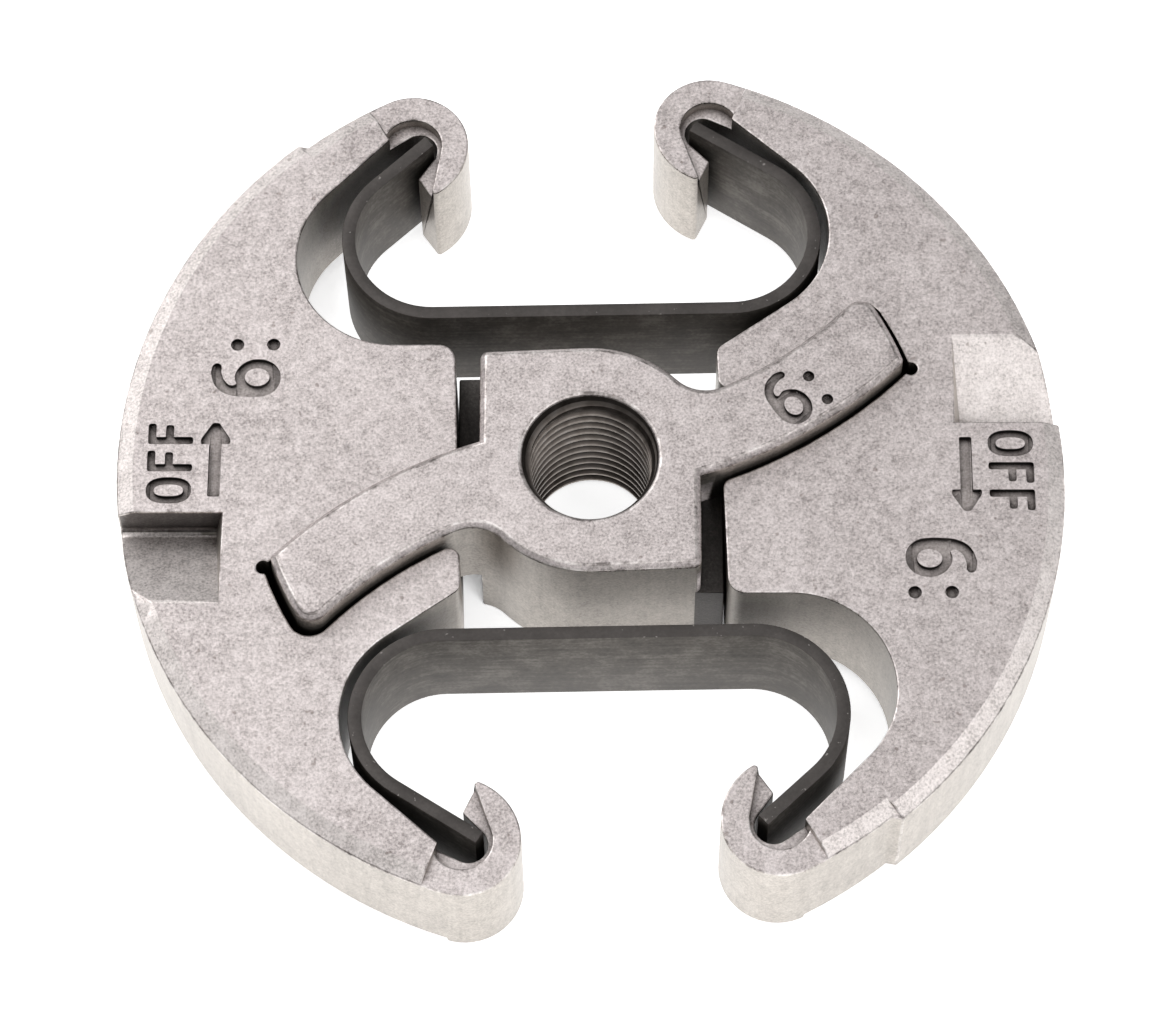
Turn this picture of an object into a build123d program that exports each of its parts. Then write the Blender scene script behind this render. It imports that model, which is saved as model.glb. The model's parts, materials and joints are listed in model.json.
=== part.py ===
from build123d import *
from math import acos, atan2, cos, degrees, hypot, radians, sin, sqrt
import os

# Two-shoe centrifugal clutch for a chainsaw, in millimetres
# The bore axis is Z, the hub stands on its rear face at Z = 0 and its marked face looks up

# Hub block with its threaded bore
hub_height = 14.0
thread_radius = 5.0
bore_chamfer_top = 0.2
bore_chamfer_rear = 0.8
boss_radius = 9.15
block_half_width = 8.15
block_corner = 8.8
block_corner_round = 0.6
stop_margin = 0.35
stop_height = 9.15
edge_break = 0.4

# Curved drive arms: their middle line is an arc through the bore axis, which it crosses at a small slope
guide_radius = 34.55
guide_slope = 5.9
arm_width = 6.2
arm_height = 8.7
arm_reach = 24.6
arm_tip_round = 1.3
arm_tip_corner = 0.5
arm_root_round = 3.0

# Shoe body: its friction face is an arc about a centre that lies a little off the axis at rest
shoe_thickness = 10.4
hub_proud = 1.8
friction_radius = 35.4
rest_inset_x = 0.4
rest_inset_y = 0.5
face_bevel_width = 1.25
face_bevel_depth = 0.6
rear_bevel = 0.5
shoulder_angle = -50.0
shoulder_depth = 0.6
shoulder_lean = 0.8

# Inner side of the shoe: a face towards the hub, and a round bay for a spring bend at each end
stop_gap = 0.6
face_lean = 0.68
bay_radius = 7.5
open_bay_shift = 1.05
open_bay_drop = 9.95
close_bay_shift = 1.43
close_bay_drop = 9.375
open_horn_round = 1.3
close_horn_drop = 9.95
close_horn_round = 1.0

# Hooks that hold the spring ends: angles are about the friction centre, sweeps about the hook
open_hook_angle = -62.7
close_hook_angle = 72.3
hook_step_angle = 2.65
hook_radius = 4.25
hook_wall = 2.05
hook_drop = 0.6
hook_back_sweep = 118.0
claw_sweep = 185.5
claw_flare = 0.4
claw_heel_sweep = 198.0
claw_thickness = 2.2
claw_round = 0.3

# Seat in each hook: a hole for the spring end, a ledge round it and a lip where the bay begins
seat_bore = 1.35
seat_inset = 0.15
seat_shift = 0.45
lip_offset = 0.95
lip_setback = 1.4
ledge_depth = 1.0
ledge_tip_sweep = 187.0
ledge_tip_wall = 0.25

# Pocket in the shoe that runs on the arm
arm_clearance = 0.3
arm_floor_clearance = 0.2
arm_tip_gap = 0.6
pocket_relief = 0.5
pocket_round = 1.6
pocket_mouth_round = 0.8

# Ramped tool notch in the shoe's face
notch_length = 8.4
notch_wall = 3.7
notch_ramp = 7.3
notch_depth = 3.3
notch_draft = 0.7
notch_round = 0.5

# Flat-strip springs
spring_thickness = 1.0
spring_width = 9.9
spring_bay_gap = 0.6
spring_far_inset = 2.76
spring_far_rise = 1.71
spring_seat_clearance = 0.2
spring_seat_sweep = 132.0

# Sizes that follow from the ones above
shoe_top = hub_height - hub_proud
shoe_bottom = shoe_top - shoe_thickness
hook_top = shoe_top - hook_drop
arm_bottom = hub_height - arm_height
stop_half_width = boss_radius + stop_margin
relief_radius = friction_radius - shoulder_depth
claw_reach = hook_radius + claw_flare
claw_heel_reach = claw_reach - claw_thickness
ledge_radius = hook_radius - hook_wall
ledge_tip_reach = claw_reach - ledge_tip_wall
notch_start = friction_radius - notch_length
pocket_floor = arm_bottom - arm_floor_clearance
axis_point = (0, 0)
friction_centre = (-rest_inset_x, -rest_inset_y)
far = 2 * friction_radius


def polar(centre, radius, angle):
    return (centre[0] + radius * cos(radians(angle)), centre[1] + radius * sin(radians(angle)))


def bearing(start, end):
    return degrees(atan2(end[1] - start[1], end[0] - start[0]))


def tangent_spread(centre, radius, point):
    # Angle at a circle's centre between a point outside it and the touching point of its tangent
    return degrees(acos(radius / hypot(point[0] - centre[0], point[1] - centre[1])))


def hook_point(hook, angle, sense, outwards, onwards):
    # Point in a hook's own directions: outwards from the friction centre, and onwards along its sweep
    across = polar(hook, outwards, angle)
    return polar(across, onwards, angle + sense * 90)


def radial_plane(centre, angle):
    # Upright plane through a vertical axis: its x runs outwards at the angle, its y runs up
    outwards = (cos(radians(angle)), sin(radians(angle)), 0)
    across = (sin(radians(angle)), -cos(radians(angle)), 0)
    return Plane(origin=(centre[0], centre[1], 0), x_dir=outwards, z_dir=across)


# Centre of the arc that the right-hand arm follows
guide_centre = polar(axis_point, guide_radius, 90 + guide_slope)

# The two ends of a shoe: hook angle, sense of its sweeps, hook centre, seat centre, bay centre, horn corner
open_hook = polar(friction_centre, relief_radius - hook_radius, open_hook_angle)
close_hook = polar(friction_centre, friction_radius - hook_radius, close_hook_angle)
open_seat = hook_point(open_hook, open_hook_angle, -1, -seat_inset, seat_shift)
close_seat = hook_point(close_hook, close_hook_angle, 1, -seat_inset, seat_shift)
open_bay = (open_hook[0] + open_bay_shift, open_hook[1] + open_bay_drop)
close_bay = (close_hook[0] + close_bay_shift, close_hook[1] - close_bay_drop)
open_corner = (stop_half_width + stop_gap, open_bay[1] + bay_radius)
close_corner = (stop_half_width + stop_gap - face_lean, close_bay[1] - close_horn_drop)
shoe_ends = (
    (open_hook_angle, -1, open_hook, open_seat, open_bay, open_corner),
    (close_hook_angle, 1, close_hook, close_seat, close_bay, close_corner),
)

# Rounding of the pocket's mouth, no more than the land between the pocket and the horn can take
pocket_inside = guide_radius - arm_width / 2 - arm_clearance
mouth_run = sqrt(pocket_inside**2 - (close_corner[0] - guide_centre[0]) ** 2)
horn_land = close_corner[1] - (guide_centre[1] - mouth_run)
mouth_round = min(pocket_mouth_round, horn_land / 4)


# Hub: the plan is a round boss with two square corners and two curved arms
def arm_band(clearance, reach):
    # Band about the guide centre, from the bore axis out to the reach
    with BuildSketch() as band:
        with Locations(guide_centre):
            Circle(guide_radius + arm_width / 2 + clearance)
            Circle(guide_radius - arm_width / 2 - clearance, mode=Mode.SUBTRACT)
        Circle(reach, mode=Mode.INTERSECT)
        Rectangle(far, far, align=(Align.MIN, Align.CENTER), mode=Mode.INTERSECT)
    return band.sketch


with BuildSketch() as arm_plan:
    add(arm_band(0, arm_reach))
    tip_corners = arm_plan.vertices().sort_by_distance(axis_point)[-2:].sort_by(Axis.Y)
    fillet(tip_corners[0], arm_tip_corner)
    tip_corners = arm_plan.vertices().sort_by(Axis.Y)
    fillet(tip_corners[-1], arm_tip_round)

block_point = (-block_half_width, block_corner)
block_touch = bearing(axis_point, block_point) - tangent_spread(axis_point, boss_radius, block_point)
with BuildSketch() as hub_plan:
    Circle(boss_radius)
    with PolarLocations(0, 2):
        with Locations((-block_half_width, 0)):
            Rectangle(far, far, align=(Align.MAX, Align.MIN), mode=Mode.SUBTRACT)
    with PolarLocations(0, 2):
        Polygon(
            axis_point,
            polar(axis_point, boss_radius, block_touch),
            block_point,
            (-block_half_width, 0),
            align=None,
        )
        add(arm_plan.sketch)
    roots = hub_plan.vertices().filter_by(
        lambda v: v.X * v.Y > 0 and abs(hypot(v.X, v.Y) - boss_radius) < 0.01
    )
    fillet(roots, arm_root_round)
    for sign in (-1, 1):
        corner = hub_plan.vertices().sort_by_distance((sign * block_half_width, -sign * block_corner))
        fillet(corner[0], block_corner_round)

with BuildPart() as hub:
    with BuildSketch(Plane.XY.offset(arm_bottom)):
        add(hub_plan.sketch)
    extrude(amount=arm_height)
    with BuildSketch():
        add(hub_plan.sketch)
        Rectangle(2 * block_half_width, far, mode=Mode.INTERSECT)
    extrude(amount=hub_height)
    with BuildSketch():
        with PolarLocations(0, 2):
            Rectangle(stop_half_width, block_corner, align=(Align.MIN, Align.MAX))
    extrude(amount=stop_height)
    chamfer(hub.faces().sort_by(Axis.Z)[-1].outer_wire().edges(), edge_break)
    with BuildSketch():
        Circle(thread_radius)
    extrude(amount=hub_height, mode=Mode.SUBTRACT)
    bore_wall = hub.faces().filter_by(GeomType.CYLINDER).sort_by_distance((0, 0, hub_height / 2))[0]
    chamfer(bore_wall.edges().filter_by(GeomType.CIRCLE).sort_by(Axis.Z)[-1], bore_chamfer_top)
    bore_wall = hub.faces().filter_by(GeomType.CYLINDER).sort_by_distance((0, 0, hub_height / 2))[0]
    chamfer(bore_wall.edges().filter_by(GeomType.CIRCLE).sort_by(Axis.Z)[0], bore_chamfer_rear)
hub.part.label = "hub"


# Shoe: its outline runs along the friction face, round each hook and back along the bays
with BuildSketch() as shoe_plan:
    with BuildLine():
        CenterArc(friction_centre, friction_radius, shoulder_angle, close_hook_angle - shoulder_angle)
        for angle, sense, hook, seat, bay, corner in shoe_ends:
            tip = polar(hook, claw_reach, angle + sense * claw_sweep)
            heel = polar(hook, claw_heel_reach, angle + sense * claw_heel_sweep)
            lip = hook_point(hook, angle, sense, lip_offset, -lip_setback)
            hook_back = CenterArc(hook, hook_radius, angle, sense * hook_back_sweep)
            TangentArc(hook_back @ 1, tip, tangent=hook_back % 1)
            Line(tip, heel)
            grip = bearing(seat, heel) - sense * tangent_spread(seat, seat_bore, heel)
            let_go = bearing(seat, lip) + sense * tangent_spread(seat, seat_bore, lip)
            leave = bearing(bay, lip) - sense * tangent_spread(bay, bay_radius, lip)
            meet = bearing(bay, corner) + sense * tangent_spread(bay, bay_radius, corner)
            Line(heel, polar(seat, seat_bore, grip))
            CenterArc(seat, seat_bore, grip, -sense * (sense * (grip - let_go) % 360))
            Line(polar(seat, seat_bore, let_go), lip)
            Line(lip, polar(bay, bay_radius, leave))
            CenterArc(bay, bay_radius, leave, -sense * (sense * (leave - meet) % 360))
            Line(polar(bay, bay_radius, meet), corner)
        Line(open_corner, close_corner)
        relief_end = shoulder_angle - shoulder_lean
        CenterArc(friction_centre, relief_radius, open_hook_angle, relief_end - open_hook_angle)
        Line(
            polar(friction_centre, relief_radius, relief_end),
            polar(friction_centre, friction_radius, shoulder_angle),
        )
    make_face()
    fillet(shoe_plan.vertices().sort_by_distance(open_corner)[0], open_horn_round)
    fillet(shoe_plan.vertices().sort_by_distance(close_corner)[0], close_horn_round)
    for angle, sense, hook, seat, bay, corner in shoe_ends:
        tip = polar(hook, claw_reach, angle + sense * claw_sweep)
        fillet(shoe_plan.vertices().sort_by_distance(tip)[0], claw_round)

# Tool notch: a wall and a ramp, open at the rim, with a drafted inner side
with BuildPart() as notch:
    with BuildSketch(Plane.YZ.offset(notch_start)):
        Polygon(
            (notch_wall, shoe_top - notch_depth),
            (notch_wall + notch_ramp, shoe_top),
            (notch_wall + notch_ramp, hub_height),
            (notch_wall, hub_height),
            align=None,
        )
    extrude(amount=far)
    fillet(notch.edges().filter_by(Axis.X).sort_by(Axis.Z)[0], notch_round)
    with BuildSketch(Plane.XZ):
        Polygon(
            (notch_start, shoe_top),
            (notch_start + notch_draft, shoe_top - notch_depth),
            (2 * far, shoe_top - notch_depth),
            (2 * far, hub_height),
            (notch_start, hub_height),
            align=None,
        )
    extrude(amount=far, both=True, mode=Mode.INTERSECT)

with BuildPart() as right_shoe:
    with BuildSketch(Plane.XY.offset(shoe_bottom)):
        add(shoe_plan.sketch)
    extrude(amount=shoe_thickness)

    # Bevels along the rim, on the friction arc and on the relieved stretch beyond the shoulder
    for rim, start, size in (
        (friction_radius, shoulder_angle, close_hook_angle - shoulder_angle),
        (relief_radius, open_hook_angle, shoulder_angle - open_hook_angle),
    ):
        with BuildSketch(radial_plane(friction_centre, start)):
            Polygon(
                (rim - face_bevel_width, shoe_top),
                (rim, shoe_top - face_bevel_depth),
                (far, shoe_top - face_bevel_depth),
                (far, shoe_top),
                align=None,
            )
            Polygon(
                (rim - rear_bevel, shoe_bottom),
                (rim, shoe_bottom + rear_bevel),
                (far, shoe_bottom + rear_bevel),
                (far, shoe_bottom),
                align=None,
            )
        axis = Axis((friction_centre[0], friction_centre[1], 0), (0, 0, 1))
        revolve(axis=axis, revolution_arc=size, mode=Mode.SUBTRACT)

    # Hook faces lie lower than the shoe's face, with a ledge round the spring seat
    for angle, sense, hook, seat, bay, corner in shoe_ends:
        hook_sector = (
            friction_centre,
            polar(friction_centre, far, angle - sense * hook_step_angle),
            polar(friction_centre, far, angle + sense * 45),
        )
        with BuildSketch(Plane.XY.offset(hook_top)):
            Polygon(*hook_sector, align=None)
        extrude(amount=hook_drop, mode=Mode.SUBTRACT)
        ledge_tip = polar(hook, ledge_tip_reach, angle + sense * ledge_tip_sweep)
        ledge_start = bearing(hook, ledge_tip) - sense * tangent_spread(hook, ledge_radius, ledge_tip)
        mouth = polar(hook, claw_reach, angle + sense * (claw_heel_sweep + 15))
        with BuildSketch(Plane.XY.offset(hook_top - ledge_depth)):
            with Locations(hook):
                Circle(ledge_radius)
            Polygon(hook, polar(hook, ledge_radius, ledge_start), ledge_tip, mouth, align=None)
            Polygon(*hook_sector, align=None, mode=Mode.INTERSECT)
        extrude(amount=ledge_depth, mode=Mode.SUBTRACT)

    # Pocket for the arm, open towards the hub, with a relieved corner at its end
    with BuildSketch(Plane.XY.offset(pocket_floor)) as pocket:
        add(arm_band(arm_clearance, arm_reach + arm_tip_gap))
        pocket_end = pocket.vertices().sort_by_distance(axis_point)[-2:].sort_by(Axis.Y)
        fillet(pocket_end[-1], pocket_round)
        with Locations(pocket_end[0]):
            Circle(pocket_relief)
    extrude(amount=arm_height, mode=Mode.SUBTRACT)
    uprights = right_shoe.edges().filter_by(Axis.Z)
    uprights = uprights.filter_by(lambda e: abs(e.length - (shoe_top - pocket_floor)) < 0.01)
    fillet(uprights.sort_by_distance((0, 0, pocket_floor))[:2], mouth_round)
    add(notch.part, mode=Mode.SUBTRACT)
right_shoe.part.label = "right_shoe"

with BuildPart() as left_shoe:
    add(right_shoe.part, rotation=(0, 0, 180))
left_shoe.part.label = "left_shoe"


# Springs: a strip bent round each bay, with a leg that reaches into each hook
spring_bend = bay_radius - spring_bay_gap - spring_thickness
near_bend = close_bay
seat_reach = seat_bore - spring_seat_clearance
near_seat = polar(close_seat, seat_reach, close_hook_angle + spring_seat_sweep)
near_leave = bearing(near_bend, near_seat) - tangent_spread(near_bend, spring_bend, near_seat)
far_bend = (spring_far_inset - open_bay[0], spring_far_rise - open_bay[1])
far_seat = polar((-open_seat[0], -open_seat[1]), seat_reach, open_hook_angle + 180 - spring_seat_sweep)
far_leave = bearing(far_bend, far_seat) + tangent_spread(far_bend, spring_bend, far_seat)
straight_side = bearing(far_bend, near_bend) - 90


def strip_edge(thickness):
    # One side of the strip, from the seat in one hook to the seat in the other
    radius = spring_bend + thickness
    near_end = polar(near_seat, thickness, near_leave)
    far_end = polar(far_seat, thickness, far_leave)
    Line(near_end, polar(near_bend, radius, near_leave))
    CenterArc(near_bend, radius, straight_side, near_leave - straight_side)
    Line(polar(near_bend, radius, straight_side), polar(far_bend, radius, straight_side))
    CenterArc(far_bend, radius, far_leave, straight_side + 360 - far_leave)
    Line(polar(far_bend, radius, far_leave), far_end)
    return near_end, far_end


with BuildPart() as rear_spring:
    spring_bottom = shoe_bottom + (shoe_thickness - spring_width) / 2
    with BuildSketch(Plane.XY.offset(spring_bottom)):
        with BuildLine():
            outer_ends = strip_edge(spring_thickness)
            inner_ends = strip_edge(0)
            Line(outer_ends[0], inner_ends[0])
            Line(outer_ends[1], inner_ends[1])
        make_face()
    extrude(amount=spring_width)
rear_spring.part.label = "rear_spring"

with BuildPart() as front_spring:
    add(rear_spring.part, rotation=(0, 0, 180))
front_spring.part.label = "front_spring"

os.makedirs("parts", exist_ok=True)
export_step(hub.part, "parts/hub.step")
export_step(left_shoe.part, "parts/left_shoe.step")
export_step(right_shoe.part, "parts/right_shoe.step")
export_step(rear_spring.part, "parts/rear_spring.step")
export_step(front_spring.part, "parts/front_spring.step")
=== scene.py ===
import bmesh
import bpy
import json
import math
from mathutils import Matrix, Vector

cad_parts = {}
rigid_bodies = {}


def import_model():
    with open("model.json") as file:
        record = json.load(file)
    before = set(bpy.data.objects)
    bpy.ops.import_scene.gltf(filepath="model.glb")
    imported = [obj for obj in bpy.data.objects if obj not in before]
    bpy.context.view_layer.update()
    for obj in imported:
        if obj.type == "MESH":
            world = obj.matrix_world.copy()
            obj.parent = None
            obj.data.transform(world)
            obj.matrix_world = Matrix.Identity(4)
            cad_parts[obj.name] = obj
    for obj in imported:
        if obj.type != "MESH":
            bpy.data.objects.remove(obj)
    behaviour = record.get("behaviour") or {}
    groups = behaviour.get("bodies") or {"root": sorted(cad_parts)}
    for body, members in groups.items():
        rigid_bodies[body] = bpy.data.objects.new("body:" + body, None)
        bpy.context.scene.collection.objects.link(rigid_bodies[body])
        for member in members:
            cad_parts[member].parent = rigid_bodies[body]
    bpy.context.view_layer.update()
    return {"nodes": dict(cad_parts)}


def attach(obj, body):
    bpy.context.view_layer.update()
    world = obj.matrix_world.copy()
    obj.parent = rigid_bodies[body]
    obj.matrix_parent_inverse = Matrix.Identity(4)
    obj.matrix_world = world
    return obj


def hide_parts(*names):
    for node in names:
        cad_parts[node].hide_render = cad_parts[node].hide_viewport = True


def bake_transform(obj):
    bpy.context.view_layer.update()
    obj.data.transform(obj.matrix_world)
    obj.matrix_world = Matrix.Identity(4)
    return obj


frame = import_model()
bpy.ops.object.select_all(action="DESELECT")  # the loaded nodes come in selected
print("clutch frame loaded:", sorted(frame["nodes"]))

mm = 0.001
weld = 0.001 * mm  # corners closer than this are one corner
hair = 0.01 * mm  # heights or widths closer than this are equal


def pickOnly(obj):
    if bpy.context.object and bpy.context.object.mode == "EDIT":
        bpy.ops.object.mode_set(mode="OBJECT")
    bpy.ops.object.select_all(action="DESELECT")
    obj.select_set(True)
    bpy.context.view_layer.objects.active = obj


def applyModifiers(obj):
    pickOnly(obj)
    for modifier in list(obj.modifiers):
        bpy.ops.object.modifier_apply(modifier=modifier.name)


def cutWith(piece, name, kind, cutter, materialMode="INDEX"):  # the cutter is used up
    cut = piece.modifiers.new(name, "BOOLEAN")
    cut.operation = kind
    cut.object = cutter
    cut.solver = "EXACT"
    cut.material_mode = materialMode
    applyModifiers(piece)
    bpy.data.objects.remove(cutter)


def halfTurn(piece, pieceName):  # a twin, turned about the bore's axis
    twin = piece.copy()
    twin.name = pieceName
    twin.data = piece.data.copy()
    twin.data.transform(Matrix.Rotation(math.pi, 4, "Z"))
    bpy.context.scene.collection.objects.link(twin)
    return twin


def onCircle(centre, radius, angle):  # angle in degrees, flat point in mm
    turn = math.radians(angle)
    return Vector((centre[0] + radius * math.cos(turn), centre[1] + radius * math.sin(turn), 0))


# finishes


def newFinish(name):
    finish = bpy.data.materials.new(name)
    finish.use_nodes = True
    return finish, finish.node_tree.nodes, finish.node_tree.links


def addNoise(nodes, links, coords, size):  # size is scale, detail, roughness
    noise = nodes.new("ShaderNodeTexNoise")
    for key, value in zip(("Scale", "Detail", "Roughness"), size):
        noise.inputs[key].default_value = value
    links.new(coords, noise.inputs["Vector"])
    return noise.outputs["Fac"]


def addStretch(nodes, links, coords, scale):
    stretch = nodes.new("ShaderNodeMapping")
    stretch.inputs["Scale"].default_value = scale
    links.new(coords, stretch.inputs["Vector"])
    return stretch.outputs["Vector"]


def addRamp(nodes, links, value, stops):
    ramp = nodes.new("ShaderNodeValToRGB")
    points = ramp.color_ramp.elements
    while len(points) < len(stops):
        points.new(0.5)
    for point, (where, shade) in zip(points, stops):
        point.position = where
        point.color = (*shade, 1)
    links.new(value, ramp.inputs["Fac"])
    return ramp.outputs["Color"]


def addMath(nodes, links, kind, first, second):
    node = nodes.new("ShaderNodeMath")
    node.operation = kind
    for socket, value in zip(node.inputs, (first, second)):
        if isinstance(value, (int, float)):
            socket.default_value = value
        else:
            links.new(value, socket)
    return node.outputs["Value"]


def addBlend(nodes, links, parts):  # sum of value and share pairs
    total = None
    for value, share in parts:
        part = addMath(nodes, links, "MULTIPLY", value, share)
        total = part if total is None else addMath(nodes, links, "ADD", total, part)
    return total


def addMix(nodes, links, kind, amount, first, second):
    node = nodes.new("ShaderNodeMix")
    node.data_type = "RGBA"
    node.blend_type = kind
    for socket, value in ((node.inputs[0], amount), (node.inputs[6], first), (node.inputs[7], second)):
        if isinstance(value, (int, float)):
            socket.default_value = value
        elif isinstance(value, tuple):
            socket.default_value = (*value, 1)
        else:
            links.new(value, socket)
    return node.outputs[2]


def addSpan(nodes, links, value, low, high, start=0.0, end=1.0):  # start..end to low..high
    node = nodes.new("ShaderNodeMapRange")
    for key, number in (("From Min", start), ("From Max", end), ("To Min", low), ("To Max", high)):
        node.inputs[key].default_value = number
    links.new(value, node.inputs["Value"])
    return node.outputs["Result"]


def addUpright(nodes, links, place):  # 1 on level faces, 0 on walls
    split = nodes.new("ShaderNodeSeparateXYZ")
    links.new(place.outputs["Normal"], split.inputs["Vector"])
    return addMath(nodes, links, "ABSOLUTE", split.outputs["Z"], 0.0)


def addShelter(nodes, reach):  # low where surfaces close in
    shelter = nodes.new("ShaderNodeAmbientOcclusion")
    shelter.samples = 8
    shelter.inputs["Distance"].default_value = reach
    return shelter.outputs["AO"]


def addGrimeAndShade(nodes, links, colour, grimeAndShade):  # painted shade with old oily grime: darker where surfaces close in
    shelter = addShelter(nodes, grimeAndShade["reach"])
    clear = addRamp(nodes, links, shelter, [(grimeAndShade["full"], grimeAndShade["shade"]), (grimeAndShade["none"], (1, 1, 1))])
    return addMix(nodes, links, "MULTIPLY", 1.0, colour, clear)


def addBump(nodes, links, shader, height, strength, depth):
    bump = nodes.new("ShaderNodeBump")
    bump.inputs["Strength"].default_value = strength
    bump.inputs["Distance"].default_value = depth
    links.new(height, bump.inputs["Height"])
    links.new(bump.outputs["Normal"], shader.inputs["Normal"])


sinter = {  # pressed powder with a grain of about a fifth of a mm
    "grain": (5200, 4, 0.7), "blotch": (900, 4, 0.6), "cloud": (130, 2, 0.5),
    "pits": (1500, 1, 0.4), "pitFrom": 0.22, "pitTo": 0.27, "pitAmount": 0.7,
    "streak": (1800, 3, 0.6), "streakShare": 0.12, "draw": (1, 1, 0.05),  # draw marks run up the walls
    "wallBelow": 0.4, "wallShine": 0.12, "bumpDepth": 0.06 * mm,
}


def sinteredFinish(name, look):
    finish, nodes, links = newFinish(name)
    shader = nodes["Principled BSDF"]
    place = nodes.new("ShaderNodeTexCoord")
    coords = place.outputs["Object"]
    sizes = ("grain", "blotch", "cloud")
    layers = [addNoise(nodes, links, coords, sinter[key]) for key in sizes]
    mixed = addBlend(nodes, links, [(layer, look[key]) for layer, key in zip(layers, sizes)])
    face = addRamp(nodes, links, mixed, look["face"])
    pits = addNoise(nodes, links, coords, sinter["pits"])
    pitMask = addRamp(nodes, links, pits, [(sinter["pitFrom"], (1, 1, 1)), (sinter["pitTo"], (0, 0, 0))])
    pitMask = addMath(nodes, links, "MULTIPLY", pitMask, sinter["pitAmount"])
    face = addMix(nodes, links, "MULTIPLY", pitMask, face, look["pit"])
    streak = addNoise(nodes, links, addStretch(nodes, links, coords, sinter["draw"]), sinter["streak"])
    share = sinter["streakShare"]
    drawn = addBlend(nodes, links, [(mixed, 1 - share), (streak, share)])
    wall = addRamp(nodes, links, drawn, look["wall"])
    # drawn streaks, and painted shade: walls take a darker tone than the level faces
    wallMask = addMath(nodes, links, "LESS_THAN", addUpright(nodes, links, place), sinter["wallBelow"])
    colour = addMix(nodes, links, "MIX", wallMask, face, wall)
    # painted shade with old grime in corners, bays and recesses
    colour = addGrimeAndShade(nodes, links, colour, look["grimeAndShade"])
    links.new(colour, shader.inputs["Base Color"])
    gloss = addSpan(nodes, links, mixed, *look["roughness"])
    shine = addMath(nodes, links, "MULTIPLY", wallMask, sinter["wallShine"])
    links.new(addMath(nodes, links, "SUBTRACT", gloss, shine), shader.inputs["Roughness"])
    shader.inputs["Metallic"].default_value = look["metallic"]
    addBump(nodes, links, shader, mixed, look["bump"], sinter["bumpDepth"])
    return finish


sinteredLook = {
    "grain": 0.62, "blotch": 0.24, "cloud": 0.14,
    "face": [(0.38, (0.32, 0.285, 0.278)), (0.48, (0.57, 0.515, 0.505)), (0.62, (0.82, 0.755, 0.745))],
    "wall": [(0.38, (0.3, 0.272, 0.245)), (0.5, (0.46, 0.422, 0.383)), (0.62, (0.6, 0.556, 0.508))],
    "pit": (0.5, 0.46, 0.44), "roughness": (0.36, 0.58), "metallic": 0.85, "bump": 0.5,
    "grimeAndShade": {"reach": 5 * mm, "shade": (0.1, 0.088, 0.08), "full": 0.14, "none": 0.58},
}
wornLook = dict(  # chipped dark and light
    sinteredLook,
    grain=0.3, blotch=0.5, cloud=0.2,
    face=[(0.4, (0.2, 0.178, 0.17)), (0.5, (0.56, 0.51, 0.495)), (0.6, (0.88, 0.83, 0.81))],
    wall=[(0.4, (0.2, 0.18, 0.165)), (0.5, (0.5, 0.46, 0.425)), (0.6, (0.76, 0.72, 0.685))],
    roughness=(0.3, 0.5), bump=0.2,
)
recessLook = dict(  # dirt and painted shade: dark walls, darker along the foot of a mark's walls
    sinteredLook,
    face=[(0.36, (0.25, 0.222, 0.213)), (0.5, (0.4, 0.36, 0.347)), (0.64, (0.56, 0.51, 0.493))],
    wall=[(0.3, (0.05, 0.045, 0.042)), (0.5, (0.08, 0.071, 0.067)), (0.7, (0.13, 0.118, 0.112))],
    roughness=(0.5, 0.75),
    grimeAndShade={"reach": 0.9 * mm, "shade": (0.1, 0.088, 0.083), "full": 0.46, "none": 0.7},
)
sheenLook = dict(  # painted highlight: a lighter tone for the notch ramps and the rim's lip
    sinteredLook,
    face=[(0.38, (0.45, 0.408, 0.395)), (0.48, (0.72, 0.665, 0.645)), (0.62, (0.95, 0.89, 0.87))],
    grimeAndShade={"reach": 3 * mm, "shade": (0.3, 0.27, 0.255), "full": 0.14, "none": 0.5},
)
shadeLook = dict(
    sinteredLook,
    face=[(0.38, (0.1, 0.089, 0.085)), (0.5, (0.17, 0.153, 0.146)), (0.62, (0.27, 0.246, 0.235))],
    wall=[(0.38, (0.08, 0.072, 0.068)), (0.5, (0.13, 0.118, 0.111)), (0.62, (0.2, 0.183, 0.173))],
)
# old oil and painted shade on the low stops
oilShadeLook = dict(
    sinteredLook,
    face=[(0.34, (0.05, 0.045, 0.042)), (0.5, (0.09, 0.082, 0.078)), (0.66, (0.16, 0.148, 0.14))],
    wall=[(0.3, (0.04, 0.036, 0.034)), (0.5, (0.08, 0.072, 0.068)), (0.7, (0.14, 0.13, 0.122))],
)
sinteredMetal = sinteredFinish("sinteredMetal", sinteredLook)
wornEdge = sinteredFinish("wornEdge", wornLook)
markRecess = sinteredFinish("markRecess", recessLook)
notchShade = sinteredFinish("notchShade", shadeLook)
notchSheen = sinteredFinish("notchSheen", sheenLook)
oilShadeGap = sinteredFinish("oilShadeGap", oilShadeLook)


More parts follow.
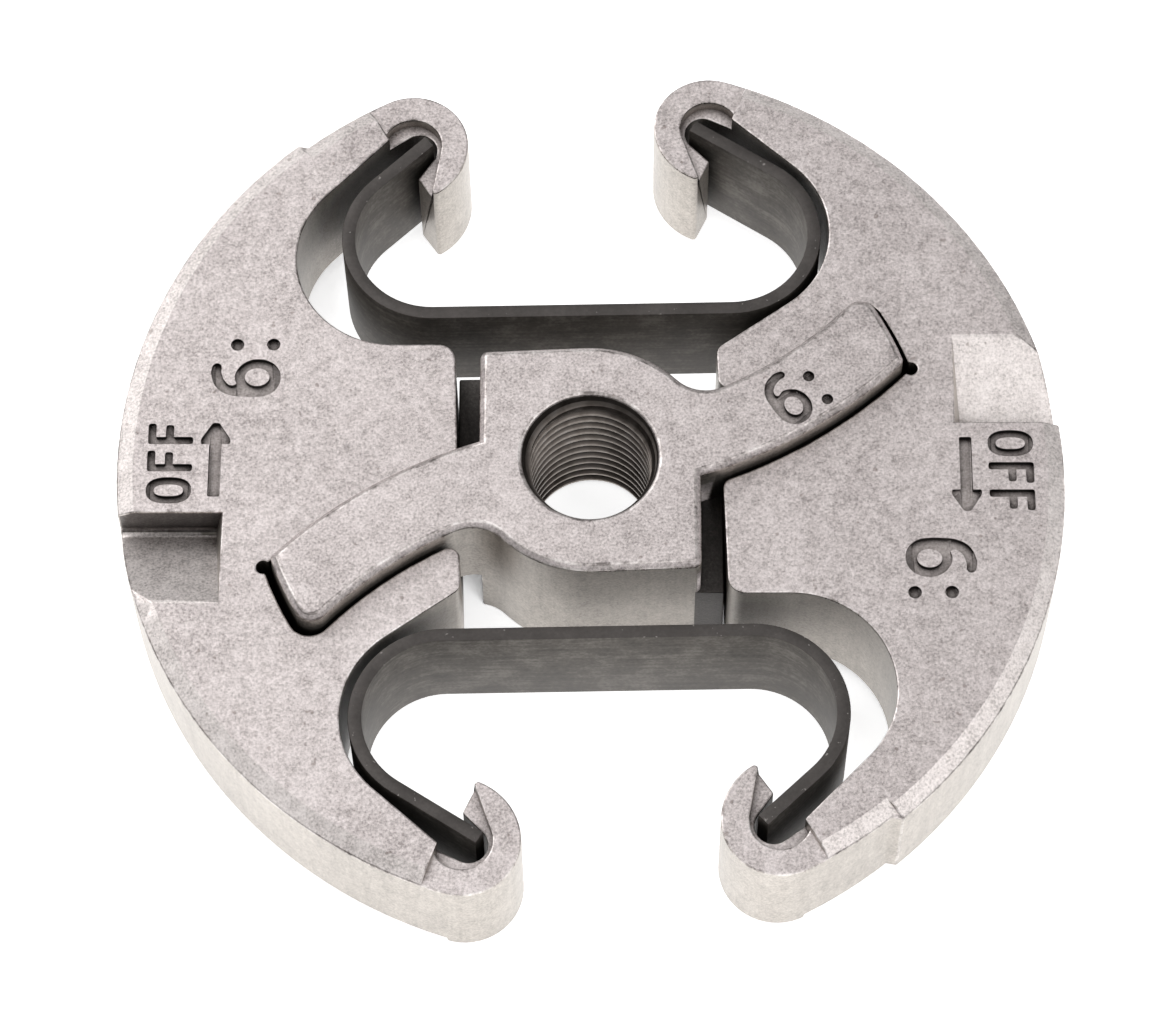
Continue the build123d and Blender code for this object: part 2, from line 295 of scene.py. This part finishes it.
def springFinish(name, look):
    finish, nodes, links = newFinish(name)
    shader = nodes["Principled BSDF"]
    place = nodes.new("ShaderNodeTexCoord")
    coords = place.outputs["Object"]
    stain = addNoise(nodes, links, coords, look["stain"])
    fine = addNoise(nodes, links, coords, look["fine"])
    rolled = addNoise(nodes, links, addStretch(nodes, links, coords, look["along"]), look["rolled"])
    mixed = addBlend(nodes, links, list(zip((stain, fine, rolled), look["shares"])))
    side = addRamp(nodes, links, mixed, look["side"])
    edge = addRamp(nodes, links, mixed, look["edge"])
    specks = addNoise(nodes, links, coords, look["specks"])
    speckMask = addRamp(nodes, links, specks, [(look["speckFrom"], (0, 0, 0)), (look["speckTo"], (1, 1, 1))])
    speckMask = addMath(nodes, links, "MULTIPLY", speckMask, look["speckAmount"])
    edge = addMix(nodes, links, "MIX", speckMask, edge, look["speck"])
    edgeMask = addMath(nodes, links, "GREATER_THAN", addUpright(nodes, links, place), look["edgeAbove"])
    colour = addMix(nodes, links, "MIX", edgeMask, side, edge)
    # painted shade with old grime where the strip runs close to other parts
    colour = addGrimeAndShade(nodes, links, colour, look["grimeAndShade"])
    links.new(colour, shader.inputs["Base Color"])
    links.new(addSpan(nodes, links, mixed, *look["roughness"]), shader.inputs["Roughness"])
    shader.inputs["Metallic"].default_value = look["metallic"]
    addBump(nodes, links, shader, mixed, look["bump"], look["bumpDepth"])
    return finish


springLook = {
    "stain": (420, 5, 0.65), "fine": (3600, 2, 0.5), "rolled": (3000, 3, 0.6), "shares": (0.5, 0.22, 0.28),
    "along": (0.06, 0.06, 1),  # rolling scratches run along the strip
    "side": [(0.36, (0.055, 0.049, 0.043)), (0.5, (0.1, 0.09, 0.08)), (0.62, (0.18, 0.166, 0.15))],
    "edge": [(0.3, (0.05, 0.045, 0.042)), (0.5, (0.078, 0.07, 0.066)), (0.7, (0.115, 0.104, 0.098))],
    "edgeAbove": 0.5, "specks": (3400, 1, 0.3), "speckFrom": 0.76, "speckTo": 0.8, "speckAmount": 0.8,
    "speck": (0.32, 0.3, 0.285), "roughness": (0.42, 0.65), "metallic": 0.7,
    "bump": 0.25, "bumpDepth": 0.03 * mm,
    "grimeAndShade": {"reach": 2.0 * mm, "shade": (0.3, 0.28, 0.26), "full": 0.12, "none": 0.5},
}
springSteel = springFinish("springSteel", springLook)


def threadFinish(name, look):
    finish, nodes, links = newFinish(name)
    shader = nodes["Principled BSDF"]
    coords = nodes.new("ShaderNodeTexCoord").outputs["Object"]
    length = nodes.new("ShaderNodeVectorMath")  # distance from the bore's axis
    length.operation = "LENGTH"
    links.new(addStretch(nodes, links, coords, (1, 1, 0)), length.inputs[0])
    # painted shade and highlight: dark towards the thread roots, light on the crests
    depth = addSpan(nodes, links, length.outputs["Value"], 0.0, 1.0, look["crest"], look["root"])
    flank = addRamp(nodes, links, depth, look["flank"])
    split = nodes.new("ShaderNodeSeparateXYZ")
    links.new(coords, split.inputs["Vector"])
    mouth = addSpan(nodes, links, split.outputs["Z"], 0.0, look["mouthAmount"], *look["mouth"])
    flank = addMix(nodes, links, "MIX", mouth, flank, look["mouthShade"])
    oil = addNoise(nodes, links, coords, look["oilNoise"])
    film = addRamp(nodes, links, oil, look["oil"])
    links.new(addMix(nodes, links, "MULTIPLY", 1.0, flank, film), shader.inputs["Base Color"])
    links.new(addSpan(nodes, links, oil, *look["roughness"]), shader.inputs["Roughness"])
    shader.inputs["Metallic"].default_value = look["metallic"]
    return finish


threadLook = {
    "crest": 4.46 * mm, "root": 4.95 * mm,
    "flank": [(0.0, (0.42, 0.385, 0.36)), (0.16, (0.17, 0.152, 0.142)),
              (0.6, (0.032, 0.028, 0.026)), (1.0, (0.015, 0.013, 0.012))],
    "mouth": (11.2 * mm, 14 * mm), "mouthAmount": 0.5, "mouthShade": (0.2, 0.18, 0.168),
    "oil": [(0.3, (0.45, 0.42, 0.39)), (0.55, (0.85, 0.82, 0.79)), (0.75, (1, 1, 1))],
    "oilNoise": (900, 4, 0.6), "roughness": (0.25, 0.5), "metallic": 0.85,
}
threadSteel = threadFinish("threadSteel", threadLook)
print("finishes ready")


# castings: merged copies of the hub and the shoe with softened edges

castingFinishes = {"metal": sinteredMetal, "worn": wornEdge, "recess": markRecess, "thread": threadSteel,
                   "oilShaded": oilShadeGap, "shaded": notchShade, "paintedSheen": notchSheen}
coat = {name: place for place, name in enumerate(castingFinishes)}
casting = {"weld": 0.002 * mm, "flatWithin": 0.4, "edgeSoft": 0.13 * mm, "edgeSteps": 2,
           "sharpFrom": 32, "sharpTo": 118, "level": 0.999, "wideFace": 5 * mm * mm,
           "smoothBelow": 22, "flatWeight": 80}


def castingCopy(nodeName, pieceName):
    piece = bpy.data.objects.new(pieceName, frame["nodes"][nodeName].data.copy())
    bpy.context.scene.collection.objects.link(piece)
    pickOnly(piece)
    piece.data.materials.clear()
    for finish in castingFinishes.values():
        piece.data.materials.append(finish)
    bpy.ops.object.mode_set(mode="EDIT")
    bpy.ops.mesh.select_all(action="SELECT")
    bpy.ops.mesh.remove_doubles(threshold=casting["weld"])
    bpy.ops.mesh.dissolve_limited(angle_limit=math.radians(casting["flatWithin"]))
    bpy.ops.object.mode_set(mode="OBJECT")
    for face in piece.data.polygons:
        face.material_index = coat["metal"]
    return piece


def refillTop(piece):  # the wide top face is filled again round its holes
    top = max(corner.co.z for corner in piece.data.vertices) - hair
    pickOnly(piece)
    bpy.ops.object.mode_set(mode="EDIT")
    bpy.ops.mesh.select_mode(type="FACE")
    bpy.ops.mesh.select_all(action="DESELECT")
    bpy.ops.object.mode_set(mode="OBJECT")
    for face in piece.data.polygons:
        onTop = face.normal.z > casting["level"] and face.center.z > top
        face.select = onTop and face.area > casting["wideFace"]
    bpy.ops.object.mode_set(mode="EDIT")
    bpy.ops.mesh.delete(type="FACE")
    bpy.ops.mesh.select_mode(type="EDGE")
    bpy.ops.mesh.select_all(action="DESELECT")
    bpy.ops.mesh.select_non_manifold()
    bpy.ops.mesh.fill(use_beauty=True)
    bpy.ops.mesh.select_all(action="SELECT")
    bpy.ops.mesh.normals_make_consistent(inside=False)
    bpy.ops.object.mode_set(mode="OBJECT")
    for face in piece.data.polygons:
        if face.normal.z > casting["level"] and face.center.z > top:
            face.material_index = coat["metal"]


def softenEdges(piece, freshTop):  # outward edges only, and none of the marks
    pickOnly(piece)
    shape = bmesh.new()
    shape.from_mesh(piece.data)
    weight = shape.edges.layers.float.new("bevel_weight_edge")
    low, high = (math.radians(casting[key]) for key in ("sharpFrom", "sharpTo"))
    for edge in shape.edges:
        plain = all(face.material_index == coat["metal"] for face in edge.link_faces)
        edge[weight] = 1.0 if plain and edge.is_convex and low < edge.calc_face_angle() < high else 0.0
    shape.to_mesh(piece.data)
    shape.free()
    soft = piece.modifiers.new("edgeSoft", "BEVEL")
    soft.width = casting["edgeSoft"]
    soft.segments = casting["edgeSteps"]
    soft.limit_method = "WEIGHT"
    soft.use_clamp_overlap = False
    soft.material = coat["worn"]
    applyModifiers(piece)
    if freshTop:
        refillTop(piece)
    bpy.ops.object.shade_smooth_by_angle(angle=math.radians(casting["smoothBelow"]))
    shape = bmesh.new()
    shape.from_mesh(piece.data)
    for edge in shape.edges:  # the rims of the marks stay crisp
        if {face.material_index for face in edge.link_faces} == {coat["metal"], coat["recess"]}:
            edge.smooth = False
    shape.to_mesh(piece.data)
    shape.free()
    flat = piece.modifiers.new("flatFaces", "WEIGHTED_NORMAL")  # wide faces keep their flat shading
    flat.keep_sharp = True
    flat.weight = casting["flatWeight"]
    applyModifiers(piece)


# sunk marks: a six with two dots, a switch word and an arrow

marks = {  # lengths in mm
    "sink": 0.42, "curveSteps": 4,
    "six": [(-1.57, 0), (-1.55, 1.2), (-1.42, 2.1), (-0.86, 3.0), (0.05, 3.43), (0.72, 3.47), (1.2, 3.22),
            (1.12, 2.8), (0.45, 2.72), (-0.28, 2.42), (-0.62, 1.95), (-0.5, 1.58), (0.07, 1.72), (0.86, 1.43),
            (1.4, 0.78), (1.57, 0), (1.4, -0.8), (0.85, -1.46), (0, -1.71), (-0.85, -1.46), (-1.4, -0.8)],
    "sixCrook": (-0.5, 1.58), "sixHole": ((0.07, 0.05), 0.74, 0.92), "holeSteps": 28,
    "sixDots": [((2.8, -1.1), 0.5), ((2.78, 1.6), 0.5)], "dotSteps": 20,
    "letterHeight": 3.35, "stroke": 0.6, "corner": 0.2,
    "innerCorner": 0.25, "cornerLimit": 0.45, "cornerPull": 0.25,  # shares, not lengths
    "oWidth": 2.15, "oSteps": 32, "oFullness": 0.8,
    "fWidth": 1.7, "fStarts": (2.63, 4.86), "fBar": 0.52, "fBarShort": 0.12,
    "arrowLength": 6.2, "arrowHead": 1.9, "headWidth": 2.2, "shaftWidth": 0.92,
    "barb": 0.4, "tipCut": 0.15, "tipHalf": 0.25, "arrowCorner": 0.14,
}


def roundLoop(centre, across, tall, count, fullness=1.0):  # below 1 the loop swells to its corners
    turns = [2 * math.pi * (i + 0.5) / count for i in range(count)]
    swell = [abs(math.cos(t)) ** (2 / fullness) + abs(math.sin(t)) ** (2 / fullness) for t in turns]
    reach = [total ** (-fullness / 2) for total in swell]
    spots = zip(reach, turns)
    return [(centre[0] + across * r * math.cos(t), centre[1] + tall * r * math.sin(t)) for r, t in spots]


def easeCorners(points, size):  # three points in place of each corner, inner corners kept crisper
    eased = []
    for i, (x, y) in enumerate(points):
        corner = Vector((x, y))
        ways = [Vector(points[k % len(points)]) - corner for k in (i - 1, i + 1)]
        ease = size if ways[1].cross(ways[0]) > 0 else size * marks["innerCorner"]
        before, after = (way.normalized() * min(ease, way.length * marks["cornerLimit"]) for way in ways)
        middle = corner + (before + after) * marks["cornerPull"]
        eased += [tuple(corner + before), tuple(middle), tuple(corner + after)]
    return eased


def sixLoops(scale):
    hole, across, tall = marks["sixHole"]
    loops = [("BEZIER", marks["six"]), ("POLY", roundLoop(hole, across, tall, marks["holeSteps"]))]
    loops += [("POLY", roundLoop(centre, r, r, marks["dotSteps"])) for centre, r in marks["sixDots"]]
    return [(kind, [(x * scale, y * scale) for x, y in points]) for kind, points in loops]


def switchLoops():
    tall, line = marks["letterHeight"], marks["stroke"]
    middle = (marks["oWidth"] / 2, tall / 2)
    loops = []
    for inset in (0, line):
        across, up = (half - inset for half in middle)
        loops.append(("POLY", roundLoop(middle, across, up, marks["oSteps"], marks["oFullness"])))
    for start in marks["fStarts"]:
        end, mid = start + marks["fWidth"], tall * marks["fBar"]
        barEnd = end - marks["fBarShort"]
        outline = [(start, 0), (start + line, 0), (start + line, mid - line / 2),
                   (barEnd, mid - line / 2), (barEnd, mid + line / 2),
                   (start + line, mid + line / 2), (start + line, tall - line),
                   (end, tall - line), (end, tall), (start, tall)]
        loops.append(("POLY", easeCorners(outline, marks["corner"])))
    return loops


def arrowLoops():
    wide, shaft, tip = marks["headWidth"] / 2, marks["shaftWidth"] / 2, marks["tipHalf"]
    neck = marks["arrowLength"] - marks["arrowHead"]
    barb, point = neck + marks["barb"], marks["arrowLength"] - marks["tipCut"]
    outline = [(0, -shaft), (neck, -shaft), (neck, -wide), (barb, -wide), (point, -tip),
               (point, tip), (barb, wide), (neck, wide), (neck, shaft), (0, shaft)]
    return [("POLY", easeCorners(outline, marks["arrowCorner"]))]


def sinkMark(piece, name, loops, place, height, turn):
    shape = bpy.data.curves.new(name, "CURVE")
    shape.dimensions = "2D"
    shape.fill_mode = "BOTH"
    shape.extrude = marks["sink"]
    shape.resolution_u = marks["curveSteps"]
    for kind, points in loops:
        line = shape.splines.new(kind)
        if kind == "BEZIER":
            line.bezier_points.add(len(points) - 1)
            for knot, (x, y) in zip(line.bezier_points, points):
                knot.co = (x, y, 0)
                handle = "VECTOR" if (x, y) == marks["sixCrook"] else "AUTO"
                knot.handle_left_type = knot.handle_right_type = handle
        else:
            line.points.add(len(points) - 1)
            for knot, (x, y) in zip(line.points, points):
                knot.co = (x, y, 0, 1)
        line.use_cyclic_u = True
    cutter = bpy.data.objects.new(name, shape)
    bpy.context.scene.collection.objects.link(cutter)
    pickOnly(cutter)
    bpy.ops.object.convert(target="MESH")
    cutter = bpy.context.object
    cutter.data.transform(
        Matrix.Translation((place[0] * mm, place[1] * mm, height * mm))
        @ Matrix.Rotation(math.radians(turn), 4, "Z")
        @ Matrix.Scale(mm, 4)
    )
    cutter.data.materials.clear()
    cutter.data.materials.append(markRecess)
    bpy.ops.object.mode_set(mode="EDIT")
    bpy.ops.mesh.select_all(action="SELECT")
    bpy.ops.mesh.remove_doubles(threshold=weld)
    bpy.ops.mesh.normals_make_consistent(inside=False)
    bpy.ops.object.mode_set(mode="OBJECT")
    cutWith(piece, name, "DIFFERENCE", cutter, "TRANSFER")


# hub

hubMarks = {"six": (15.0, 4.05), "turn": 35, "scale": 0.86, "height": 14.0}
stops = {"top": 9.15 * mm, "grow": 0.35 * mm, "oilShadeFrom": 8.2 * mm, "oilShadeBelow": 9.3 * mm}
bore = {"reach": 5.1 * mm, "wallBelow": 0.5}
hubBody = castingCopy("hub", "hubBody")
hubSix = sixLoops(hubMarks["scale"])
sinkMark(hubBody, "hubSix", hubSix, hubMarks["six"], hubMarks["height"], hubMarks["turn"])
corners = hubBody.data.vertices
stopFace = max(abs(corner.co.x) for corner in corners if abs(corner.co.z - stops["top"]) < hair)
for corner in corners:  # the stops reach almost to the shoes
    if corner.co.z < stops["top"] + hair and abs(abs(corner.co.x) - stopFace) < hair:
        corner.co.x += math.copysign(stops["grow"], corner.co.x)
softenEdges(hubBody, freshTop=True)
corners = hubBody.data.vertices
for face in hubBody.data.polygons:
    highest = max(corners[i].co.z for i in face.vertices)
    if math.hypot(face.center.x, face.center.y) < bore["reach"] and abs(face.normal.z) < bore["wallBelow"]:
        face.material_index = coat["thread"]  # bore wall between the threads
    elif abs(face.center.x) > stops["oilShadeFrom"] and highest < stops["oilShadeBelow"]:
        face.material_index = coat["oilShaded"]  # low stops, black: old oil and painted shade
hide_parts("hub")
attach(hubBody, "hub")
print("hub body:", len(hubBody.data.polygons), "faces")


# shoes

shoeMarks = {"six": (24.75, -7.37), "word": (29.35, 2.98), "arrow": (27.7, 2.42), "turn": -90, "height": 12.2}
notch = {"x": 26.8, "y": (3.5, 11.2), "z": (8.7, 12.1), "outward": 0.2, "rampFrom": 0.86}
lip = {"z": 11.7, "outward": 0.3, "slope": (0.8, 0.96)}
rightShoe = castingCopy("right_shoe", "rightShoe")
for name, loops in (("six", sixLoops(1.0)), ("word", switchLoops()), ("arrow", arrowLoops())):
    sinkMark(rightShoe, name, loops, shoeMarks[name], shoeMarks["height"], shoeMarks["turn"])
softenEdges(rightShoe, freshTop=False)
for face in rightShoe.data.polygons:
    x, y, z = (value / mm for value in face.center)
    rise = face.normal.z
    outward = (face.normal.x * x + face.normal.y * y) / math.hypot(x, y)
    inNotch = x > notch["x"] and notch["y"][0] < y < notch["y"][1] and notch["z"][0] < z < notch["z"][1]
    onLip = z > lip["z"] and outward > lip["outward"] and lip["slope"][0] < rise < lip["slope"][1]
    if inNotch and outward < notch["outward"]:  # tool notch: painted shade on the steep sides, a painted highlight on the ramp
        face.material_index = coat["shaded"] if rise < notch["rampFrom"] else coat["paintedSheen"]
    elif onLip and face.material_index == coat["metal"]:
        face.material_index = coat["paintedSheen"]  # painted highlight along the rim's lip
leftShoe = halfTurn(rightShoe, "leftShoe")
for piece, node in ((rightShoe, "right_shoe"), (leftShoe, "left_shoe")):
    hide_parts(node)
    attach(piece, node)
print("shoes:", len(rightShoe.data.polygons), "faces each")


# thread: a ridge wound up the bore, left-handed

thread = {"pitch": 1.0, "outer": 5.03, "crest": 4.46, "bottom": -1.0, "turns": 16, "turnSteps": 64,
          "rootHalf": 0.47, "crestHalf": 0.09, "from": 0.2, "to": 13.8, "trimWidth": 20,
          "leadIn": 1.3, "leadTop": 0.05, "leadInside": 0.02, "leadOutside": 0.03, "leadSides": 96,
          "smoothBelow": 25}


def windThread():
    bpy.ops.object.select_all(action="DESELECT")
    bpy.ops.mesh.primitive_plane_add(size=1)
    ridge = bpy.context.object
    ridge.name = "boreThread"
    step, outer, crest = thread["pitch"], thread["outer"], thread["crest"]
    root, tip = thread["rootHalf"] * step, thread["crestHalf"] * step
    profile = [(outer, -root), (outer, root), (crest, -tip), (crest, tip)]
    for corner, (reach, rise) in zip(ridge.data.vertices, profile):
        corner.co = (reach * mm, 0, (thread["bottom"] + rise) * mm)
    pickOnly(ridge)
    bpy.ops.object.mode_set(mode="EDIT")
    bpy.ops.mesh.select_all(action="SELECT")
    bpy.ops.mesh.delete(type="ONLY_FACE")
    bpy.ops.object.mode_set(mode="OBJECT")
    wind = ridge.modifiers.new("wind", "SCREW")
    wind.axis = "Z"
    wind.angle = -2 * math.pi * thread["turns"]
    wind.screw_offset = step * thread["turns"] * mm
    wind.iterations = 1
    wind.steps = wind.render_steps = thread["turnSteps"] * thread["turns"]
    applyModifiers(ridge)
    bpy.ops.object.mode_set(mode="EDIT")
    bpy.ops.mesh.select_all(action="SELECT")
    bpy.ops.mesh.remove_doubles(threshold=weld)
    bpy.ops.mesh.select_all(action="SELECT")
    bpy.ops.mesh.fill_holes(sides=4)  # close the two ends
    bpy.ops.mesh.select_all(action="SELECT")
    bpy.ops.mesh.normals_make_consistent(inside=False)
    bpy.ops.object.mode_set(mode="OBJECT")
    bpy.ops.object.select_all(action="DESELECT")
    bpy.ops.mesh.primitive_cube_add(size=1)  # keeps what lies between the two chamfers
    keep = bpy.context.object
    low, high, wide = thread["from"], thread["to"], thread["trimWidth"] * mm
    middle = Matrix.Translation((0, 0, (low + high) / 2 * mm))
    keep.data.transform(middle @ Matrix.Diagonal((wide, wide, (high - low) * mm, 1)))
    cutWith(ridge, "trim", "INTERSECT", keep)
    bpy.ops.object.select_all(action="DESELECT")
    bpy.ops.mesh.primitive_cone_add(
        vertices=thread["leadSides"],
        radius1=(crest - thread["leadInside"]) * mm,
        radius2=(outer + thread["leadOutside"]) * mm,
        depth=thread["leadIn"] * mm,
        location=(0, 0, 0),
    )
    mouth = bpy.context.object
    mouth.data.transform(Matrix.Translation((0, 0, (high + thread["leadTop"] - thread["leadIn"] / 2) * mm)))
    cutWith(ridge, "lead", "DIFFERENCE", mouth)  # the first turns grow out of the wall
    pickOnly(ridge)
    ridge.data.materials.clear()
    ridge.data.materials.append(threadSteel)
    bpy.ops.object.shade_smooth_by_angle(angle=math.radians(thread["smoothBelow"]))
    return ridge


boreThread = windThread()
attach(boreThread, "hub")
print("thread wound:", len(boreThread.data.polygons), "faces")


# springs: each half is a strip drawn out from the middle, bent round its bay and run into its hook

strip = {
    "thick": 1.0, "wide": 9.9, "bottom": 2.05, "round": 0.08, "roundSteps": 2, "bend": 5.9, "side": -88.9946,
    "runSteps": 6, "bendSteps": 30, "legSteps": 4, "smoothBelow": 40,
    "near": {"centre": (10.5006, 19.8004), "sweep": 146.3670, "leg": 7.2828},
    "far": {"centre": (-11.9017, 19.4073), "sweep": -137.4294, "leg": 5.4358},
}


def drawStrip(pieceName, end):
    shape = strip[end]
    middle = strip["bend"] + strip["thick"] / 2
    bends = [onCircle(strip[key]["centre"], middle, strip["side"]) for key in ("near", "far")]
    start = (bends[0] + bends[1]) / 2
    run = onCircle(shape["centre"], middle, strip["side"]) - start
    across = onCircle((0, 0), 1, strip["side"]) * strip["thick"]
    section = Matrix((across, Vector((0, 0, strip["wide"])), run.normalized())).transposed().to_4x4()
    section.translation = start + Vector((0, 0, strip["bottom"] + strip["wide"] / 2))
    bpy.ops.object.select_all(action="DESELECT")
    bpy.ops.mesh.primitive_plane_add(size=1)
    piece = bpy.context.object
    piece.name = pieceName
    piece.data.transform(Matrix.Scale(mm, 4) @ section)
    pickOnly(piece)
    bpy.ops.object.mode_set(mode="EDIT")
    bpy.ops.mesh.select_all(action="SELECT")
    bpy.ops.mesh.bevel(offset=strip["round"] * mm, segments=strip["roundSteps"], affect="VERTICES")
    bpy.ops.mesh.select_all(action="SELECT")
    for step in range(strip["runSteps"]):
        bpy.ops.mesh.extrude_region_move(TRANSFORM_OT_translate={"value": run * mm / strip["runSteps"]})
    sweep = math.radians(shape["sweep"])
    bpy.ops.mesh.spin(steps=strip["bendSteps"], angle=-sweep,
                      center=(shape["centre"][0] * mm, shape["centre"][1] * mm, 0), axis=(0, 0, 1))
    leg = Matrix.Rotation(sweep, 3, "Z") @ run.normalized() * shape["leg"] * mm
    for step in range(strip["legSteps"]):
        bpy.ops.mesh.extrude_region_move(TRANSFORM_OT_translate={"value": leg / strip["legSteps"]})
    bpy.ops.mesh.select_all(action="SELECT")
    bpy.ops.mesh.remove_doubles(threshold=weld)
    bpy.ops.mesh.normals_make_consistent(inside=False)
    bpy.ops.object.mode_set(mode="OBJECT")
    piece.data.materials.append(springSteel)
    bpy.ops.object.shade_smooth_by_angle(angle=math.radians(strip["smoothBelow"]))
    return piece


rearNear = drawStrip("rearSpringRight", "near")
rearFar = drawStrip("rearSpringLeft", "far")
frontNear = halfTurn(rearNear, "frontSpringLeft")
frontFar = halfTurn(rearFar, "frontSpringRight")
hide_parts("rear_spring")
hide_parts("front_spring")
for piece, shoe, way in ((rearNear, "right_shoe", 1), (rearFar, "left_shoe", 1),
                         (frontNear, "left_shoe", -1), (frontFar, "right_shoe", -1)):
    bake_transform(piece)
print("springs drawn:", len(rearNear.data.polygons), "faces a half")


# floor, light and camera

studio = {"floorSize": 1.6, "floorShade": 0.9, "floorRoughness": 0.9, "floorGlow": 0.85,
          "glowReach": 9 * mm, "glowFrom": 0.06, "glowFull": 0.14, "sky": 0.32}
bpy.ops.object.select_all(action="DESELECT")
bpy.ops.mesh.primitive_plane_add(size=studio["floorSize"])
floor = bpy.context.object
floor.name = "paleFloor"
floorFinish, nodes, links = newFinish("paleFloor")
shader = nodes["Principled BSDF"]
shader.inputs["Base Color"].default_value = (studio["floorShade"],) * 3 + (1,)
shader.inputs["Roughness"].default_value = studio["floorRoughness"]
shader.inputs["Emission Color"].default_value = (1, 1, 1, 1)
shelter = addShelter(nodes, studio["glowReach"])  # painted shadow: the glow fades out in narrow gaps
glow = addRamp(nodes, links, shelter, [(studio["glowFrom"], (0, 0, 0)), (studio["glowFull"], (1, 1, 1))])
links.new(addMath(nodes, links, "MULTIPLY", glow, studio["floorGlow"]), shader.inputs["Emission Strength"])
floor.data.materials.append(floorFinish)

world = bpy.context.scene.world or bpy.data.worlds.new("studioSky")
bpy.context.scene.world = world
world.use_nodes = True
world.node_tree.nodes["Background"].inputs["Color"].default_value = (1, 1, 1, 1)
world.node_tree.nodes["Background"].inputs["Strength"].default_value = studio["sky"]
bpy.context.scene.view_settings.view_transform = "Standard"

softLights = {
    "topLight": {"at": (-0.24, 0.20, 0.54), "watts": 1.25, "size": 0.60},
    "frontLight": {"at": (0.08, -0.30, 0.47), "watts": 0.85, "size": 0.50},
    "leftLight": {"at": (-0.37, 0.34, 0.40), "watts": 0.9, "size": 0.40},
    "rightLight": {"at": (0.42, -0.06, 0.46), "watts": 0.75, "size": 0.40},
}
for name, lamp in softLights.items():
    aim = (-Vector(lamp["at"])).to_track_quat("-Z", "Y").to_euler()
    bpy.ops.object.light_add(type="AREA", location=lamp["at"], rotation=aim)
    light = bpy.context.object
    light.name = name
    light.data.energy = lamp["watts"]
    light.data.size = lamp["size"]

view = {"azimuth": 1.101, "elevation": 64.619, "roll": -1.036, "distance": 0.3283,
        "lens": 139.70, "sensor": 36, "target": (-0.00071, -0.004386, 0.014)}
azimuth, elevation, roll = (math.radians(view[key]) for key in ("azimuth", "elevation", "roll"))
flatReach = math.cos(elevation)
back = Vector((math.sin(azimuth) * flatReach, -math.cos(azimuth) * flatReach, math.sin(elevation)))
level = Vector((math.cos(azimuth), math.sin(azimuth), 0))
upward = back.cross(level)
rightward = math.cos(roll) * level + math.sin(roll) * upward
upward = math.cos(roll) * upward - math.sin(roll) * level
stand = Matrix((rightward, upward, back)).transposed().to_4x4()
stand.translation = Vector(view["target"]) + view["distance"] * back
bpy.ops.object.camera_add()
camera = bpy.context.object
camera.name = "photoCamera"
camera.data.lens = view["lens"]
camera.data.sensor_width = view["sensor"]
camera.data.sensor_fit = "HORIZONTAL"
camera.matrix_world = stand
bpy.context.scene.camera = camera
print("studio ready")
